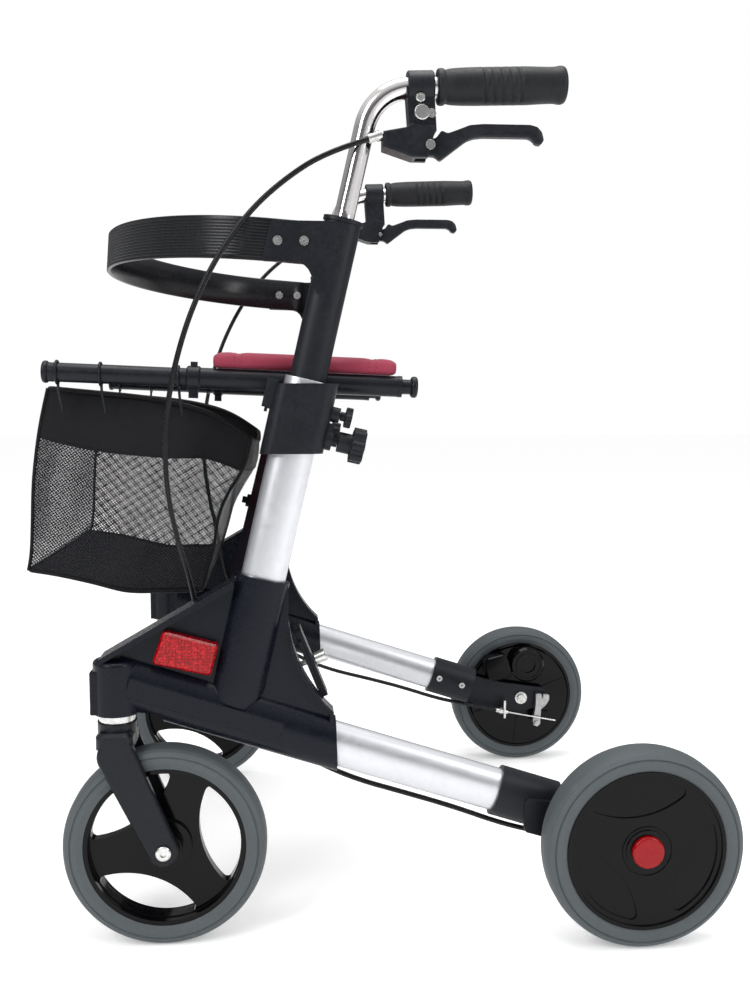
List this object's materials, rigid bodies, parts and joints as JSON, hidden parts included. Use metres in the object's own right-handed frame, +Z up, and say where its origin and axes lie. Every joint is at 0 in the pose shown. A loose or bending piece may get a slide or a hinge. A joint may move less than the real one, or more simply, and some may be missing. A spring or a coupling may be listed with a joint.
{
  "type": "rollator walker",
  "caption": "Folding four-wheeled walking frame with a seat, a fabric basket, a backrest strap, height-adjustable handles and hand brakes.",
  "frame": {"origin": "on the floor, under the middle of the walker's bounding box", "axes": "+Z up, -Y is the walking direction, +X is the walker's left"},
  "size_m": [0.608, 0.713, 0.8545],
  "materials": {
    "silver_tube": "silver anodised",
    "silver_paint": "silver painted",
    "dark_shell": "semi-gloss near-black blue",
    "black_plastic": "satin black",
    "red_lens": "red reflector lens",
    "bright_steel": "bright plated",
    "dull_steel": "zinc plated",
    "cable_sheath": "black vinyl sheath",
    "grey_tyre": "dark grey solid tyre",
    "gloss_black": "gloss black",
    "red_cap": "gloss red",
    "black_metal": "satin black paint",
    "chrome_tube": "polished",
    "black_rubber": "soft black",
    "rail_black": "satin black paint",
    "red_fabric": "dark red coated fabric",
    "strap_black": "ribbed black",
    "basket_fabric": "black mesh and fabric"
  },
  "bodies": {
    "left_frame": {"left_base_tube": "silver_tube", "left_post_tube": "silver_tube", "left_front_shell": "dark_shell", "left_collar": "black_plastic", "left_rear_bracket": "silver_paint", "left_brake_unit": "black_plastic", "left_reflector": "red_lens", "left_frame_fasteners": "bright_steel", "left_brake_cable": "cable_sheath", "latch_plate": "black_plastic"},
    "left_handle": {"left_handlebar": "chrome_tube", "left_upper_post": "black_metal", "left_grip": "black_rubber", "left_lever_housing": "black_plastic", "left_handle_fasteners": "bright_steel", "backrest_strap": "strap_black"},
    "left_brake_lever": {"left_brake_lever": "black_plastic"},
    "left_brake_arm": {"left_brake_arm": "dull_steel"},
    "left_caster": {"left_fork": "black_metal", "left_front_axle": "bright_steel"},
    "left_front_wheel": {"left_front_tyre": "grey_tyre", "left_front_wheel": "gloss_black"},
    "left_rear_wheel": {"left_rear_tyre": "grey_tyre", "left_rear_wheel": "gloss_black", "left_rear_cap": "red_cap"},
    "left_height_knob": {"left_height_knob": "black_plastic"},
    "left_small_knob": {"left_small_knob": "black_plastic"},
    "left_rail": {"left_seat_rail": "rail_black", "seat_pad": "red_fabric", "basket": "basket_fabric", "basket_hooks": "dull_steel"},
    "right_frame": {"right_base_tube": "silver_tube", "right_post_tube": "silver_tube", "right_front_shell": "dark_shell", "right_collar": "black_plastic", "right_rear_bracket": "silver_paint", "right_brake_unit": "black_plastic", "right_reflector": "red_lens", "right_frame_fasteners": "bright_steel", "right_brake_cable": "cable_sheath"},
    "right_handle": {"right_handlebar": "chrome_tube", "right_upper_post": "black_metal", "right_grip": "black_rubber", "right_lever_housing": "black_plastic", "right_handle_fasteners": "bright_steel"},
    "right_brake_lever": {"right_brake_lever": "black_plastic"},
    "right_brake_arm": {"right_brake_arm": "dull_steel"},
    "right_caster": {"right_fork": "black_metal", "right_front_axle": "bright_steel"},
    "right_front_wheel": {"right_front_tyre": "grey_tyre", "right_front_wheel": "gloss_black"},
    "right_rear_wheel": {"right_rear_tyre": "grey_tyre", "right_rear_wheel": "gloss_black", "right_rear_cap": "red_cap"},
    "right_height_knob": {"right_height_knob": "black_plastic"},
    "right_small_knob": {"right_small_knob": "black_plastic"},
    "right_rail": {"right_seat_rail": "rail_black"},
    "brace_bar_a": {"brace_bar_a": "silver_paint"},
    "brace_bar_b": {"brace_bar_b": "silver_paint"},
    "latch_knob": {"latch_knob": "bright_steel"}
  },
  "joints": [
    {"name": "brace_fold", "type": "hinge", "parent": "left_frame", "child": "brace_bar_a", "pos_m": [0.2, -0.14629, 0.30331], "axis": [0, 0.9744, -0.225], "range_deg": [0, 45], "deforming": ["seat_pad", "basket", "basket_hooks", "backrest_strap"]},
    {"name": "brace_cross", "type": "hinge", "parent": "brace_bar_a", "child": "brace_bar_b", "pos_m": [0, -0.11997, 0.41731], "axis": [0, 0.9744, -0.225], "range_deg": [-90, 0]},
    {"name": "right_frame_fold", "type": "hinge", "parent": "brace_bar_b", "child": "right_frame", "pos_m": [-0.2, -0.14629, 0.30331], "axis": [0, 0.9744, -0.225], "range_deg": [0, 45]},
    {"name": "left_rail_fold", "type": "hinge", "parent": "brace_bar_b", "child": "left_rail", "pos_m": [0.2, -0.09365, 0.53131], "axis": [0, 0.9744, -0.225], "range_deg": [0, 45]},
    {"name": "right_rail_fold", "type": "hinge", "parent": "brace_bar_a", "child": "right_rail", "pos_m": [-0.2, -0.09365, 0.53131], "axis": [0, 0.9744, -0.225], "range_deg": [-45, 0]},
    {"name": "left_handle_slide", "type": "slide", "parent": "left_frame", "child": "left_handle", "axis": [0, 0.225, 0.9744], "range_m": [0, 0.15], "deforming": ["left_brake_cable"]},
    {"name": "left_brake_squeeze", "type": "hinge", "parent": "left_handle", "child": "left_brake_lever", "pos_m": [0.25, 0.0455, 0.776], "axis": [1, 0, 0], "range_deg": [0, 9], "stiffness_Nm_per_rad": 2, "springref_deg": -5.73},
    {"name": "left_brake_arm_pull", "type": "hinge", "parent": "left_frame", "child": "left_brake_arm", "pos_m": [0.244, 0.2875, 0.099], "axis": [1, 0, 0], "range_deg": [-6, 0]},
    {"name": "left_caster_swivel", "type": "hinge", "parent": "left_frame", "child": "left_caster", "pos_m": [0.235, -0.258, 0.23], "axis": [0, 0, 1], "continuous": true},
    {"name": "left_front_wheel_spin", "type": "hinge", "parent": "left_caster", "child": "left_front_wheel", "pos_m": [0.235, -0.2125, 0.1], "axis": [1, 0, 0], "continuous": true},
    {"name": "left_rear_wheel_spin", "type": "hinge", "parent": "left_frame", "child": "left_rear_wheel", "pos_m": [0.282, 0.2575, 0.1], "axis": [1, 0, 0], "continuous": true},
    {"name": "left_height_knob_turn", "type": "hinge", "parent": "left_frame", "child": "left_height_knob", "pos_m": [0.235, -0.03243, 0.49644], "axis": [0, 0.9744, -0.225], "continuous": true},
    {"name": "left_small_knob_turn", "type": "hinge", "parent": "left_frame", "child": "left_small_knob", "pos_m": [0.235, -0.03172, 0.52173], "axis": [0, 0.9744, -0.225], "continuous": true},
    {"name": "right_handle_slide", "type": "slide", "parent": "right_frame", "child": "right_handle", "axis": [0, 0.225, 0.9744], "range_m": [0, 0.15], "deforming": ["right_brake_cable"]},
    {"name": "right_brake_squeeze", "type": "hinge", "parent": "right_handle", "child": "right_brake_lever", "pos_m": [-0.25, 0.0455, 0.776], "axis": [1, 0, 0], "range_deg": [0, 9], "stiffness_Nm_per_rad": 2, "springref_deg": -5.73},
    {"name": "right_brake_arm_pull", "type": "hinge", "parent": "right_frame", "child": "right_brake_arm", "pos_m": [-0.244, 0.2875, 0.099], "axis": [1, 0, 0], "range_deg": [-6, 0]},
    {"name": "right_caster_swivel", "type": "hinge", "parent": "right_frame", "child": "right_caster", "pos_m": [-0.235, -0.258, 0.23], "axis": [0, 0, 1], "continuous": true},
    {"name": "right_front_wheel_spin", "type": "hinge", "parent": "right_caster", "child": "right_front_wheel", "pos_m": [-0.235, -0.2125, 0.1], "axis": [1, 0, 0], "continuous": true},
    {"name": "right_rear_wheel_spin", "type": "hinge", "parent": "right_frame", "child": "right_rear_wheel", "pos_m": [-0.282, 0.2575, 0.1], "axis": [1, 0, 0], "continuous": true},
    {"name": "right_height_knob_turn", "type": "hinge", "parent": "right_frame", "child": "right_height_knob", "pos_m": [-0.235, -0.03243, 0.49644], "axis": [0, 0.9744, -0.225], "continuous": true},
    {"name": "right_small_knob_turn", "type": "hinge", "parent": "right_frame", "child": "right_small_knob", "pos_m": [-0.235, -0.03172, 0.52173], "axis": [0, 0.9744, -0.225], "continuous": true},
    {"name": "latch_pull", "type": "slide", "parent": "left_frame", "child": "latch_knob", "axis": [0, 0.9285, 0.3714], "range_m": [0, 0.008], "stiffness_N_per_m": 400, "springref_m": -0.004}
  ],
  "couplings": [
    {"joint": "brace_cross", "follows": "brace_fold", "ratio": -2},
    {"joint": "right_frame_fold", "follows": "brace_fold", "ratio": 1},
    {"joint": "left_rail_fold", "follows": "brace_fold", "ratio": 1},
    {"joint": "right_rail_fold", "follows": "brace_fold", "ratio": -1},
    {"joint": "right_handle_slide", "follows": "left_handle_slide", "ratio": 1},
    {"joint": "left_brake_arm_pull", "follows": "left_brake_squeeze", "ratio": -0.47},
    {"joint": "right_brake_arm_pull", "follows": "right_brake_squeeze", "ratio": -0.47}
  ]
}
